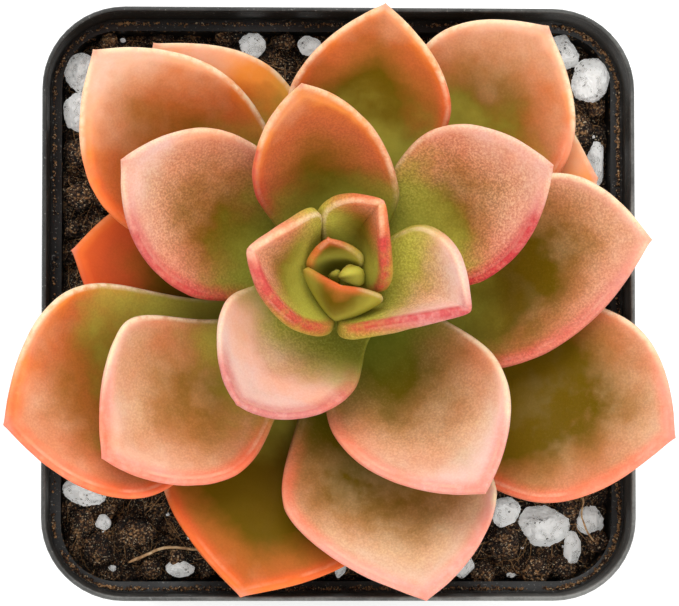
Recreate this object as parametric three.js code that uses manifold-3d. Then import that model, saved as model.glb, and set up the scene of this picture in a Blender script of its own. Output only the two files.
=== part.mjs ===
import * as THREE from 'three';
import { LoftGeometry } from 'three/addons/geometries/LoftGeometry.js';
import { mergeVertices } from 'three/addons/utils/BufferGeometryUtils.js';
import Module from 'manifold-3d';

// A rosette succulent in a small square nursery pot of thin black plastic, filled with potting mix
// that has white perlite grains in it. Millimetres, +Z up. The origin is the centre of the pot's
// base, on the surface that it stands on; +X and +Y run along the pot's sides.

// Pot
const RIM_WIDTH = 56;
const POT_HEIGHT = 52;
const RIM_CORNER = 7.8;
const BASE_WIDTH = 45;
const BODY_CORNER = 6.4;
const BASE_CORNER = 4;
const BASE_CHAMFER = 0.8;
const COLLAR_HEIGHT = 5;
const COLLAR_STEP = 0.6;
const COLLAR_DRAFT = 0.3;
const WALL = 0.65;
const LIP = 0.22;
const FLOOR = 1.2;
const DRAIN_RADIUS = 2.4;
const DRAIN_OFFSET = 11;

// Potting mix
const SOIL_TOP = 45.2;
const SOIL_RELIEF = 0.9;
const SOIL_DISH = 1.4;
const SOIL_RINGS = 7;
const SOIL_CORNER_STEPS = 4;
const SOIL_SIDE_STEPS = 5;

// Stem and rosette
const AXIS = new THREE.Vector2(0, 1.7);
const STEM_RADIUS = 3;
const STEM_BOTTOM = 30;
const STEM_SHOULDER = 52;
const STEM_TOP = 58;

// Clearance between a piece and what it is seated against
const SEAT_GAP = 0.3;

// Leaves
const LEAF_RING_POINTS = 12;
const LEAF_STATIONS = [0, 0.12, 0.26, 0.4, 0.53, 0.65, 0.76, 0.85, 0.92, 0.965, 0.993];
const BLUNT = 2.2;
const BASE_RADIUS = 1.6;
const HANDLE = 0.38;

const { degToRad, lerp, smoothstep } = THREE.MathUtils;
const UP = new THREE.Vector3(0, 0, 1);

const wasm = await Module();
wasm.setup();

// Each leaf, from the heart outward and down. tip: the point's place. base: height where the leaf
// leaves the stem. half: widths left and right of the midrib. cup: how far each side curls up, in
// degrees. wide: how far along each side is widest. neck: width at the base as a share of the widest.
// flare: how far along the blade starts to widen. blunt: how round the end is. bend: how far the
// midrib curves up. sway: how far the midrib bows to the left in plan. toward: heading, where it
// isn't the tip's. root: how far from the stem's axis the leaf starts.
const LEAVES = [
  { tip: [-0.7, 1.2, 64], base: 57, half: [4.2, 4.2], cup: [60, 60], wide: [0.5, 0.5], neck: 0.7, bend: 68, thick: 1.3, toward: 254 },
  { tip: [-1.6, 5.1, 64.5], base: 56.6, half: [3.6, 3.6], cup: [45, 45], wide: [0.5, 0.5], neck: 0.7, bend: 25, thick: 1.3 },
  { tip: [3.1, 8.4, 66], base: 55.8, half: [5.6, 6], cup: [70, 125], wide: [0.5, 0.3], neck: 0.7, bend: 32, thick: 1.5 },
  { tip: [-8.8, 4.2, 66.5], base: 55.2, half: [6.8, 7.2], cup: [75, 75], wide: [0.36, 0.5], neck: 0.7, bend: 30, sway: 6, thick: 1.6 },
  { tip: [11.4, -1.3, 65.5], base: 54.6, half: [7.2, 6.3], cup: [35, 105], wide: [0.4, 0.28], neck: 0.7, bend: 28, thick: 1.7 },
  { tip: [-9.9, -9.9, 65], base: 54, half: [7.6, 8], cup: [45, 45], wide: [0.4, 0.5], neck: 0.7, bend: 30, sway: 5, thick: 1.8 },
  { tip: [-4.1, 19.3, 66], base: 53.5, half: [7.4, 7], cup: [45, 45], wide: [0.53, 0.33], neck: 0.6, bend: 26, sway: -7, thick: 1.8 },
  { tip: [19.1, 12.1, 64], base: 53, half: [8.6, 6.9], cup: [38, 38], wide: [0.6, 0.5], neck: 0.5, bend: 22, sway: 3, thick: 1.8 },
  { tip: [12.9, -18, 62.5], base: 52.5, half: [8.6, 9], cup: [38, 38], wide: [0.55, 0.45], neck: 0.55, bend: 24, thick: 2 },
  { tip: [-20.5, 12.5, 63], base: 52, half: [8.3, 7.9], cup: [38, 38], wide: [0.5, 0.55], blunt: 2.7, neck: 0.5, bend: 22, thick: 2 },
  { tip: [3.8, 27.2, 62], base: 51.5, half: [8, 8.1], cup: [36, 36], wide: [0.61, 0.64], blunt: 1.9, neck: 0.4, bend: 20, thick: 2 },
  { tip: [-22.3, -14.8, 60.5], base: 51, half: [8.1, 10.7], cup: [40, 40], wide: [0.63, 0.7], blunt: 1.8, neck: 0.34, flare: 0.14, bend: 24, sway: 9, thick: 2 },
  { tip: [28.8, 5.6, 59], base: 50.5, half: [8.1, 10.3], cup: [36, 36], wide: [0.71, 0.41], neck: 0.45, bend: 18, sway: -1, thick: 2 },
  { tip: [-23.2, 23, 60], base: 50, half: [10.2, 7.7], cup: [34, 34], wide: [0.63, 0.6], neck: 0.4, bend: 18, sway: 2, thick: 2 },
  { tip: [7.7, -27.9, 59], base: 49.6, half: [8.9, 12], cup: [36, 36], wide: [0.71, 0.63], blunt: 1.8, neck: 0.4, bend: 20, sway: 6, thick: 2 },
  { tip: [31, -12.8, 58.5], base: 49.2, half: [8.9, 11.2], cup: [30, 16], wide: [0.68, 0.6], blunt: 2.8, neck: 0.4, bend: 18, sway: -1, thick: 2.1 },
  { tip: [-31.4, -11.7, 59], base: 48.8, half: [11.4, 10.5], cup: [36, 36], wide: [0.69, 0.69], neck: 0.3, flare: 0.14, bend: 18, sway: 4.5, thick: 2.1 },
  { tip: [19.4, 25.8, 56.5], base: 48.4, half: [8.3, 9.7], cup: [28, 24], wide: [0.69, 0.62], blunt: 2.7, neck: 0.4, bend: 14, sway: -1, thick: 2 },
  { tip: [-9.4, -27.6, 56], base: 48, half: [11.2, 11.3], cup: [12, 12], wide: [0.6, 0.6], neck: 0.4, bend: 14, thick: 2 },
  { tip: [-17.6, 24.2, 55], base: 47.6, half: [7.6, 8], cup: [20, 16], wide: [0.6, 0.6], neck: 0.4, bend: 12, thick: 1.9 },
  { tip: [-25.3, 5, 50.5], base: 47.2, half: [10.4, 6.6], cup: [10, 18], wide: [0.6, 0.65], neck: 0.4, bend: 8, thick: 1.9 },
  { tip: [24.4, 11.8, 53], base: 46.8, half: [12, 7.4], cup: [8, 16], wide: [0.7, 0.6], blunt: 4, neck: 0.36, bend: 10, sway: 8, thick: 1.9 },
];

// The leaves still packed in the heart, too small to come apart from the stem.
const HEART = [
  { tip: [0.3, 1.9, 62.3], base: 57.4, half: [1.5, 1.5], cup: [60, 60], wide: [0.5, 0.5], neck: 0.8, bend: 52, thick: 0.9, toward: 10, root: 0.3 },
  { tip: [-0.5, 2.3, 61.6], base: 57.4, half: [1.1, 1.1], cup: [55, 55], wide: [0.5, 0.5], neck: 0.8, bend: 40, thick: 0.8, toward: 120, root: 0.3 },
];

// Perlite grains. at: place. size: half width and half depth. turn: degrees about the vertical.
const GRAINS = [
  { at: [-24.4, 22.2], size: [1.4, 1.65] },
  { at: [-24.8, 18.7], size: [1.1, 1.9] },
  { at: [-8.1, 24.7], size: [1.2, 1.2] },
  { at: [-2.6, 24.9], size: [1, 0.95] },
  { at: [21.6, 24.3], size: [1.5, 1.6] },
  { at: [24.2, 21.7], size: [1.6, 1.9], turn: -10 },
  { at: [25, 13.9], size: [0.8, 2] },
  { at: [-24, -17.8], size: [1.8, 1.05], turn: -15 },
  { at: [-22.2, -20.6], size: [0.65, 0.65] },
  { at: [-14.9, -25], size: [1.2, 0.7] },
  { at: [0.4, -24.7], size: [0.55, 1.15] },
  { at: [12, -24.8], size: [1.05, 1] },
  { at: [16.2, -19.7], size: [1.3, 1.3] },
  { at: [19.8, -20.8], size: [2.1, 1.8] },
  { at: [22.5, -23], size: [0.75, 1.4] },
  { at: [24.4, -20.4], size: [1.3, 1.2] },
  { at: [25.2, 0.8], size: [0.5, 0.95] },
];

function loft(sections) {
  return new LoftGeometry(sections, { closed: true, capStart: true, capEnd: true });
}

function toSolid(geometry) {
  const bare = new THREE.BufferGeometry().copy(geometry);
  bare.deleteAttribute('normal');
  bare.deleteAttribute('uv');
  const merged = mergeVertices(bare, 1e-4);
  return new wasm.Manifold(new wasm.Mesh({
    numProp: 3,
    vertProperties: new Float32Array(merged.attributes.position.array),
    triVerts: new Uint32Array(merged.index.array),
  }));
}

function toGeometry(solid) {
  const mesh = solid.getMesh();
  const geometry = new THREE.BufferGeometry();
  geometry.setAttribute('position', new THREE.BufferAttribute(mesh.vertProperties.slice(), 3));
  geometry.setIndex(new THREE.BufferAttribute(mesh.triVerts.slice(), 1));
  return geometry;
}

function largestBody(solid) {
  return solid.decompose().reduce((a, b) => (b.volume() > a.volume() ? b : a));
}

// The outline of a square with round corners, anticlockwise, at height z.
function roundedSquare(halfWidth, corner, z, cornerSteps = 5, sideSteps = 1) {
  const inner = halfWidth - corner;
  const points = [];
  for (let side = 0; side < 4; side++) {
    const start = side * Math.PI / 2;
    const centre = new THREE.Vector2(inner, inner).rotateAround(new THREE.Vector2(), start);
    for (let i = 0; i <= cornerSteps; i++) {
      const angle = start + i / cornerSteps * Math.PI / 2;
      const [x, y] = [Math.cos(angle), Math.sin(angle)];
      points.push(new THREE.Vector3(centre.x + corner * x, centre.y + corner * y, z));
    }
    const last = points[points.length - 1];
    const run = new THREE.Vector2(-Math.cos(start), -Math.sin(start)).multiplyScalar(2 * inner);
    for (let i = 1; i < sideSteps; i++) {
      points.push(new THREE.Vector3(last.x + run.x * i / sideSteps, last.y + run.y * i / sideSteps, z));
    }
  }
  return points;
}

// The pot's outer half width and corner radius at height z, without the collar.
function potOutline(z) {
  const share = z / POT_HEIGHT;
  return {
    halfWidth: lerp(BASE_WIDTH, RIM_WIDTH - 2 * COLLAR_STEP, share) / 2,
    corner: lerp(BASE_CORNER, BODY_CORNER, share),
  };
}

function potRing(z, offset = 0) {
  const { halfWidth, corner } = potOutline(z);
  return roundedSquare(halfWidth + offset, corner + offset, z);
}

function potSolid() {
  const collarBottom = POT_HEIGHT - COLLAR_HEIGHT;
  const collarRing = (inset, z) => roundedSquare(RIM_WIDTH / 2 - inset, RIM_CORNER - inset, z);
  const outside = [
    potRing(0, -BASE_CHAMFER),
    potRing(BASE_CHAMFER),
    potRing(collarBottom - 0.6),
    collarRing(COLLAR_DRAFT, collarBottom),
    collarRing(0, POT_HEIGHT - LIP),
    collarRing(LIP, POT_HEIGHT),
  ];
  const inside = [
    potRing(FLOOR, -WALL - 0.6),
    potRing(FLOOR + 0.6, -WALL),
    potRing(collarBottom - 0.1, -WALL),
    collarRing(WALL + COLLAR_DRAFT, collarBottom + 0.2),
    collarRing(WALL, POT_HEIGHT - LIP),
    collarRing(WALL - LIP, POT_HEIGHT),
    collarRing(WALL - LIP, POT_HEIGHT + 1),
  ];
  let pot = toSolid(loft(outside)).subtract(toSolid(loft(inside)));
  for (const [x, y] of [[1, 1], [-1, 1], [-1, -1], [1, -1]]) {
    const drain = new THREE.CylinderGeometry(DRAIN_RADIUS, DRAIN_RADIUS, 4 * FLOOR, 14);
    drain.rotateX(Math.PI / 2).translate(x * DRAIN_OFFSET, y * DRAIN_OFFSET, 0);
    pot = pot.subtract(toSolid(drain));
  }
  return pot;
}

// A leaf's midrib, with its level headings at the base and at the tip.
function leafFrame(leaf) {
  const tip = new THREE.Vector3(...leaf.tip);
  const plan = new THREE.Vector2(tip.x, tip.y).sub(AXIS);
  const heading = leaf.toward === undefined ? plan.angle() : degToRad(leaf.toward);
  const sway = degToRad(leaf.sway ?? 0);
  const level = (angle) => new THREE.Vector3(Math.cos(angle), Math.sin(angle), 0);
  const [startDirection, endDirection] = [level(heading + sway), level(heading - sway)];
  const base = new THREE.Vector3(AXIS.x, AXIS.y, leaf.base);
  base.addScaledVector(startDirection, leaf.root ?? BASE_RADIUS);
  const chord = tip.clone().sub(base);
  const reach = chord.length();
  const rise = Math.atan2(chord.z, chord.dot(level(heading)));
  const bend = degToRad(leaf.bend);
  const aim = (direction, angle) => (
    direction.clone().multiplyScalar(Math.cos(angle)).addScaledVector(UP, Math.sin(angle))
  );
  const midrib = new THREE.CubicBezierCurve3(
    base,
    base.clone().addScaledVector(aim(startDirection, rise - bend), HANDLE * reach),
    tip.clone().addScaledVector(aim(endDirection, rise + bend), -HANDLE * reach),
    tip,
  );
  return { leaf, midrib, startDirection, endDirection };
}

// Half width at station t as a share of the widest.
function leafWidth(leaf, t, hand) {
  const wide = leaf.wide[hand];
  if (t < wide) return lerp(leaf.neck, 1, smoothstep(t, leaf.flare ?? 0.02, wide));
  const x = (t - wide) / (1 - wide);
  return (1 - x ** (leaf.blunt ?? BLUNT)) * (1 - 0.35 * Math.exp((x - 1) / 0.1));
}

function leafThickness(t) {
  return (0.7 + 0.3 * Math.sin(Math.PI * t)) * (1 - 0.3 * t) * Math.sqrt(1 - t ** 12);
}

// A point on a leaf at station t (0 base, 1 tip) and q across it (-1 right margin, 1 left margin).
// side is 1 on the upper face and -1 on the lower one. grow swells the leaf all over.
function leafPoint(frame, t, q, side, grow) {
  const { leaf, midrib, startDirection, endDirection } = frame;
  const outward = startDirection.clone().lerp(endDirection, t).normalize();
  const tangent = midrib.getTangent(t);
  const left = new THREE.Vector3().crossVectors(UP, outward).normalize();
  const normal = new THREE.Vector3().crossVectors(tangent, left).normalize();
  left.crossVectors(normal, tangent);

  const hand = q < 0 ? 1 : 0;
  const sign = q < 0 ? -1 : 1;
  const half = leaf.half[hand] + grow;
  const curl = degToRad(leaf.cup[hand]);
  const radius = leaf.half[hand] / curl;
  const angle = Math.abs(q) * half * leafWidth(leaf, t, hand) / radius;
  const point = midrib.getPoint(t)
    .addScaledVector(left, sign * radius * Math.sin(angle))
    .addScaledVector(normal, radius * (1 - Math.cos(angle)));
  const across = normal.clone().multiplyScalar(Math.cos(angle));
  across.addScaledVector(left, -sign * Math.sin(angle));
  const edge = Math.max(0, 1 - q * q) ** 0.3;
  const thick = (leaf.thick * leafThickness(t) + 2 * grow) * edge;
  return point.addScaledVector(across, side * thick * (side > 0 ? 0.4 : 0.6));
}

function leafSolid(leaf, grow = 0) {
  const frame = leafFrame(leaf);
  const rings = LEAF_STATIONS.map((t) => {
    const ring = [];
    for (let i = 0; i < LEAF_RING_POINTS; i++) {
      const angle = 2 * Math.PI * i / LEAF_RING_POINTS;
      ring.push(leafPoint(frame, t, Math.cos(angle), Math.sin(angle) >= 0 ? 1 : -1, grow));
    }
    return ring;
  });
  return toSolid(loft(rings));
}

function stemSolid(grow = 0) {
  const profile = [
    new THREE.Vector2(0, STEM_BOTTOM - grow),
    new THREE.Vector2(1.6 + grow, STEM_BOTTOM - grow),
    new THREE.Vector2(STEM_RADIUS - 0.4 + grow, SOIL_TOP - 4),
    new THREE.Vector2(STEM_RADIUS + grow, SOIL_TOP + 2),
    new THREE.Vector2(STEM_RADIUS - 0.2 + grow, STEM_SHOULDER),
    new THREE.Vector2(1.5 + grow, STEM_TOP - 1.5),
    new THREE.Vector2(0, STEM_TOP + grow),
  ];
  return toSolid(new THREE.LatheGeometry(profile, 16).rotateX(Math.PI / 2).translate(AXIS.x, AXIS.y, 0));
}

// Height of the potting mix's top.
function soilHeight(x, y) {
  const swell = 0.5 * Math.sin(0.42 * x + 0.3) * Math.cos(0.37 * y + 1.1);
  const clods = 0.3 * Math.sin(0.9 * x + 0.6 * y) + 0.3 * Math.sin(1.1 * y - 0.5 * x + 2);
  const dish = SOIL_DISH * Math.exp(-(x * x + y * y) / 150);
  return SOIL_TOP + SOIL_RELIEF * (swell + clods) - dish;
}

// The last section is a peak inside the stem's hole, which takes it away.
function soilSolid() {
  const outline = (z, inward = 0) => {
    const { halfWidth, corner } = potOutline(z);
    const inset = WALL + SEAT_GAP;
    const points = roundedSquare(halfWidth - inset, corner - inset, z, SOIL_CORNER_STEPS, SOIL_SIDE_STEPS);
    return points.map((p) => p.lerp(new THREE.Vector3(AXIS.x, AXIS.y, z), inward));
  };
  const sections = [outline(FLOOR + SEAT_GAP)];
  for (let i = 0; i < SOIL_RINGS; i++) {
    const section = outline(SOIL_TOP, i / SOIL_RINGS);
    section.forEach((p) => { p.z = soilHeight(p.x, p.y) - (i === 0 ? 0.3 : 0); });
    sections.push(section);
  }
  sections.push(outline(SOIL_TOP + 1, 0.95));
  return toSolid(loft(sections));
}

// A perlite grain: a lumpy ellipsoid sunk a little way into the mix. phase shifts its lumps.
function grainSolid(grain, phase, grow = 0) {
  const [x, y] = grain.at;
  const [rx, ry] = grain.size;
  const rz = 0.42 * (rx + ry);
  const z = soilHeight(x, y) + 0.3 * rz;
  const geometry = new THREE.IcosahedronGeometry(1, 1);
  const position = geometry.attributes.position;
  const p = new THREE.Vector3();
  for (let i = 0; i < position.count; i++) {
    p.fromBufferAttribute(position, i);
    const lumps = Math.sin(2.6 * p.x + phase) * Math.sin(2.9 * p.y + 2.3 * phase);
    const ridges = 0.6 * Math.sin(3.7 * p.z + 1.7 * phase);
    p.multiplyScalar(1 + 0.13 * (lumps + ridges));
    p.set(p.x * (rx + grow), p.y * (ry + grow), p.z * (rz + grow));
    p.applyAxisAngle(UP, degToRad(grain.turn ?? 0));
    position.setXYZ(i, p.x + x, p.y + y, p.z + z);
  }
  return toSolid(geometry);
}

const plant = new THREE.Group();

function addMesh(name, solid, color, roughness) {
  const material = new THREE.MeshStandardMaterial({ color, roughness, metalness: 0 });
  const mesh = new THREE.Mesh(toGeometry(solid), material);
  mesh.name = name;
  plant.add(mesh);
}

const numbered = (name, i) => `${name}_${String(i + 1).padStart(2, '0')}`;

addMesh('pot', potSolid(), 0x2b2c2b, 0.5);

let soil = soilSolid().subtract(stemSolid(SEAT_GAP));
GRAINS.forEach((grain, i) => {
  soil = soil.subtract(grainSolid(grain, i, SEAT_GAP));
  addMesh(numbered('perlite', i), grainSolid(grain, i), 0xe9e7e2, 0.9);
});
addMesh('soil', largestBody(soil), 0x3a2a20, 0.95);

const joined = (leaves, start, grow) => leaves.reduce((all, leaf) => all.add(leafSolid(leaf, grow)), start);
addMesh('stem', joined(HEART, stemSolid(), 0), 0x7fa32b, 0.5);

// Each leaf is cut back by what lies over it, so that it rests just clear of the leaves above.
const above = [joined(HEART, stemSolid(SEAT_GAP), SEAT_GAP)];
LEAVES.forEach((leaf, i) => {
  const cutBack = above.reduce((solid, other) => solid.subtract(other), leafSolid(leaf));
  above.push(leafSolid(leaf, SEAT_GAP));
  addMesh(numbered('leaf', i), largestBody(cutBack), 0xd98a5c, 0.45);
});

export default plant;
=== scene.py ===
"""A potted rosette succulent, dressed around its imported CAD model. Metres, +Z up."""
import functools
import math
import random

import bmesh
import bpy
import numpy as np
from mathutils import Matrix, Vector, noise
from mathutils.bvhtree import BVHTree


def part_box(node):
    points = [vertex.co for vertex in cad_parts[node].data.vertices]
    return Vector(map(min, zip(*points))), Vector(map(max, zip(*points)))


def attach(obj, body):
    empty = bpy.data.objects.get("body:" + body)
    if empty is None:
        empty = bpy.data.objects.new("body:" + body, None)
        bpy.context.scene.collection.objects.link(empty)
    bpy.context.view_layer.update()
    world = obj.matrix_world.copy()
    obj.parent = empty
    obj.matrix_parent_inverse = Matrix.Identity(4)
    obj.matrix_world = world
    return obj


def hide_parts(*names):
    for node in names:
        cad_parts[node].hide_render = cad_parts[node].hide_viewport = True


bl_info = {
    "name": "Potted Rosette Succulent",
    "version": (1, 0, 0),
    "blender": (4, 5, 0),
    "location": "View3D > Sidebar > Succulent",
    "description": "A fleshy rosette in a square nursery pot, built around its packed CAD model",
    "category": "Add Mesh",
}

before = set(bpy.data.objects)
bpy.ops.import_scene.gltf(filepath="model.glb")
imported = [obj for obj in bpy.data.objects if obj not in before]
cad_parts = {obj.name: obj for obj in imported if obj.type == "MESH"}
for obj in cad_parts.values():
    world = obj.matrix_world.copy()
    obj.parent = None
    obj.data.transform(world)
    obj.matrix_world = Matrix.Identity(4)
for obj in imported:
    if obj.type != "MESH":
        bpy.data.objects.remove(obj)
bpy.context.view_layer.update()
POT_LOW, POT_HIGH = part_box("pot")
MM = 0.001

# ---------------------------------------------------------------- the part's own measures, in mm

# The pot: LEDGE gives the half width, corner radius and height of the step inside its collar. The
# mix: how far its side stands inside the pot's outline, the cells along its top, its mean height, its
# unevenness and its dip.
RIM_WIDTH = 56
POT_HEIGHT = 52
RIM_CORNER = 7.8
BASE_WIDTH = 45
BODY_CORNER = 6.4
BASE_CORNER = 4
COLLAR_STEP = 0.6
FLOOR = 1.2
LEDGE = (27, 6.7, 47.12)
DRAIN_RADIUS = 2.4
DRAIN_OFFSET = 11
WALL_GAP = 0.62
MIX_CELLS = 290
SOIL_TOP = 45.2
SOIL_RELIEF = 0.9
SOIL_DISH = 1.4

# The stem's axis; how round a leaf's end is if it doesn't say; how far from the axis leaves start, how
# long their midribs' handles are as a share of their reach, and which way is away from the light.
AXIS = np.array([0, 1.7])
UP = np.array([0, 0, 1.0])
BLUNT = 2.2
BASE_RADIUS = 1.6
HANDLE = 0.38
LEE = (0, -1)

# Each leaf, from the heart outward and down: where its point is, the height at which it leaves the
# stem, its half widths left and right of the midrib, how far each side curls up, how far along each
# side is widest, how wide its foot is, and how its midrib bends and sways. tone: how far the dark
# olive runs out along it, how hazy its blush is (a wax haze, partly painted sheen), and how far its
# green foot runs. edging: how pink it is, how red its margin and how strong the painted highlight
# along it. The leaves of the heart are drawn by their margins and midrib instead, from the foot to
# the point, and fold says how sharp their keel is.
LEAVES = [
    dict(left=[(-0.5, 0.2, 57), (-2.7, 1, 59.6), (-3.7, 2.6, 62.4), (-2.2, 1.9, 63.7), (-0.4, 1, 64)],
         rib=[(-0.4, 0.1, 56.6), (-0.7, -1.6, 59.6), (-0.8, -1.4, 61.8), (-0.8, -0.5, 63.4), (-0.4, 1, 64)],
         right=[(-0.2, 0.1, 57), (2.1, -0.6, 59.6), (3.5, 0, 62.3), (1.6, 0.7, 63.7), (-0.4, 1, 64)],
         fold=1.25, thick=1.3, tone=(1, -0.6, 0.48), edging=(0, 0.15, 0.15)),
    dict(left=[(-0.6, 1.7, 57), (-2.6, 2, 59.6), (-3.3, 2.9, 62.2), (-2.6, 4.2, 63.9), (-1.6, 5.1, 64.5)],
         rib=[(-0.4, 1.9, 56.8), (-0.8, 3.3, 58.6), (-1.1, 3.9, 61), (-1.4, 4.6, 63.2), (-1.6, 5.1, 64.5)],
         right=[(-0.1, 1.9, 57), (1.4, 2.6, 59.6), (1.6, 3.6, 62.2), (0.1, 4.6, 63.9), (-1.6, 5.1, 64.5)],
         fold=2, thick=1.2, tone=(1.1, -0.5, 0.57), edging=(0.2, 0.5, 0.1)),
    dict(left=[(-0.9, 2.3, 56.4), (-2, 4.9, 60.4), (-2.1, 7.8, 63.8), (0.1, 8.9, 65.4), (3.2, 8.5, 66)],
         rib=[(-0.1, 2.4, 56), (0.7, 3.6, 57.6), (1.3, 5, 59), (1.8, 6.6, 62), (3.2, 8.5, 66)],
         right=[(0.8, 1.6, 56.4), (3, 0.5, 60.6), (3.7, 1.7, 63.8), (3.5, 5.1, 65.6), (3.2, 8.5, 66)],
         fold=1.5, thick=2.5, tone=(0.8, -0.2, 0.53), edging=(0.7, 0.85, 0.25)),
    dict(left=[(-0.4, 0.1, 56.6), (-1.2, -2.9, 61), (-4.5, -2.5, 63.8), (-7.5, 0.4, 65.8), (-8.9, 4.1, 66.2)],
         rib=[(-1.1, 1.8, 56), (-2.6, 1.2, 57.6), (-4.4, 1.5, 60), (-6.5, 2.7, 63), (-8.9, 4.1, 66.2)],
         right=[(-1.5, 3.6, 56.6), (-2.3, 5.6, 60.8), (-2.6, 7.8, 64), (-5.5, 6.3, 65.9), (-8.9, 4.1, 66.2)],
         fold=1.7, thick=2.5, tone=(0.67, 0.4, 0.5), edging=(0.7, 0.85, 0.3)),
    dict(left=[(0.8, 2.3, 56.4), (4.1, 5.5, 60.4), (7.3, 6.5, 63), (10.1, 3.9, 64.8), (11.3, -1.3, 65.5)],
         rib=[(0.3, 1.1, 56), (2.7, -0.2, 57.8), (5.4, -0.2, 59.6), (8.4, 0, 62), (11.3, -1.3, 65.5)],
         right=[(-0.1, -0.2, 56.4), (-0.4, -3, 61.6), (2.8, -2.8, 63.6), (7.1, -2.1, 65), (11.3, -1.3, 65.5)],
         fold=1.6, thick=2.5, tone=(0.33, 1, 0.46), edging=(0.6, 0.85, 0.25)),
    dict(tip=(-9.9, -9.9, 65), base=54, half=(7.6, 8), cup=(45, 45), wide=(0.4, 0.5), neck=0.7,
         bend=30, sway=5, thick=1.8, tone=(-0.15, 1, 0.25), edging=(0.5, 0.62, 0.35)),
    dict(tip=(-4.1, 19.3, 66), base=53.5, half=(7.4, 7), cup=(45, 45), wide=(0.53, 0.33), neck=0.6,
         bend=26, sway=-7, thick=1.8, tone=(0.47, -0.05, 0.2), edging=(0.45, 0.92, 0.35)),
    dict(tip=(19.1, 12.1, 64), base=53, half=(8.6, 6.9), cup=(38, 38), wide=(0.6, 0.5), neck=0.5,
         bend=22, sway=3, thick=1.8, tone=(0.48, 0.6, 0.28), edging=(1, 0.92, 0.25)),
    dict(tip=(12.9, -18, 62.5), base=52.5, half=(8.6, 9), cup=(38, 38), wide=(0.55, 0.45), neck=0.55,
         bend=24, thick=2, tone=(0.37, 0.8, 0.05), edging=(0.3, 0.5, 0.6)),
    dict(tip=(-20.5, 12.5, 63), base=52, half=(8.3, 7.9), cup=(38, 38), wide=(0.5, 0.55), blunt=2.7,
         neck=0.5, bend=22, thick=2, tone=(0.45, 0.5, 0.2), edging=(0.75, 0.8, 0.3)),
    dict(tip=(3.8, 27.2, 62), base=51.5, half=(8, 8.1), cup=(36, 36), wide=(0.61, 0.64), blunt=1.9,
         neck=0.4, bend=20, thick=2, tone=(0.72, -0.15, 0.38), edging=(0.1, 0.8, 0.45)),
    dict(tip=(-22.3, -14.8, 60.5), base=51, half=(8.1, 10.7), cup=(40, 40), wide=(0.63, 0.7), blunt=1.8,
         neck=0.34, flare=0.14, bend=24, sway=9, thick=2, tone=(0.48, 0.6, 0.25), edging=(0.2, 0.7, 0.7)),
    dict(tip=(28.8, 5.6, 59), base=50.5, half=(8.1, 10.3), cup=(36, 36), wide=(0.71, 0.41), neck=0.45,
         bend=18, sway=-1, thick=2, tone=(0.66, 0.5, 0.2), edging=(0.6, 0.5, 0.6)),
    dict(tip=(-23.2, 23, 60), base=50, half=(10.2, 7.7), cup=(34, 34), wide=(0.63, 0.6), neck=0.4, bend=18,
         sway=2, thick=2, tone=(0.46, 0.25, 0.3), edging=(0.1, 0.55, 0.55)),
    dict(tip=(7.7, -27.9, 59), base=49.6, half=(8.9, 12), cup=(36, 36), wide=(0.71, 0.63), blunt=1.8,
         neck=0.4, bend=20, sway=6, thick=2, tone=(0.58, 0.85, 0), edging=(0.2, 0.5, 0.6)),
    dict(tip=(30.95, -12.8, 58.5), base=49.2, half=(8.9, 11.2), cup=(30, 16), wide=(0.68, 0.6), blunt=2.8,
         neck=0.4, bend=18, sway=-1, thick=2.1, tone=(0.72, 0.4, 0.12), edging=(0.2, 0.6, 0.5)),
    dict(tip=(-31.33, -11.7, 59), base=48.8, half=(11.4, 10.5), cup=(36, 36), wide=(0.69, 0.69), neck=0.3,
         flare=0.14, bend=18, sway=4.5, thick=2.1, tone=(0.6, 0.05, 0.46), edging=(0.2, 0.75, 0.65)),
    dict(tip=(19.4, 25.8, 56.5), base=48.4, half=(8.3, 9.7), cup=(28, 24), wide=(0.69, 0.62), blunt=2.7,
         neck=0.4, bend=14, sway=-1, thick=2, tone=(0.63, 0.25, 0.45), edging=(0.1, 0.4, 0.7)),
    # painted shade: this leaf lies under its neighbours, and its dark olive is made to run far out
    dict(tip=(-9.4, -27.6, 56), base=48, half=(11.2, 11.3), cup=(12, 12), wide=(0.6, 0.6), neck=0.4,
         bend=14, thick=2, tone=(0.86, -0.3, 0.28), edging=(0, 0.4, 0.3)),
    dict(tip=(-17.6, 24.2, 55), base=47.6, half=(7.6, 8), cup=(20, 16), wide=(0.6, 0.6), neck=0.4,
         bend=12, thick=1.9, tone=(0.2, 0.2, 0.42), edging=(0.1, 0.3, 0.5)),
    # partly painted shade: this small leaf lies deep under its neighbours, and its clear, saturated blush
    # stands partly for the shade there
    dict(tip=(-25.3, 5, 50.5), base=47.2, half=(10.4, 6.6), cup=(10, 18), wide=(0.6, 0.65), neck=0.4,
         bend=8, thick=1.9, tone=(0.6, -0.9, 0), edging=(0, 1, 0.1)),
    dict(tip=(24.4, 11.8, 53), base=46.8, half=(12, 7.4), cup=(8, 16), wide=(0.7, 0.6), blunt=4,
         neck=0.36, bend=10, sway=8, thick=1.9, tone=(0.08, -0.1, 0.35), edging=(0, 0.5, 0.5)),
]
INNER_LEAVES = 8

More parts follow.
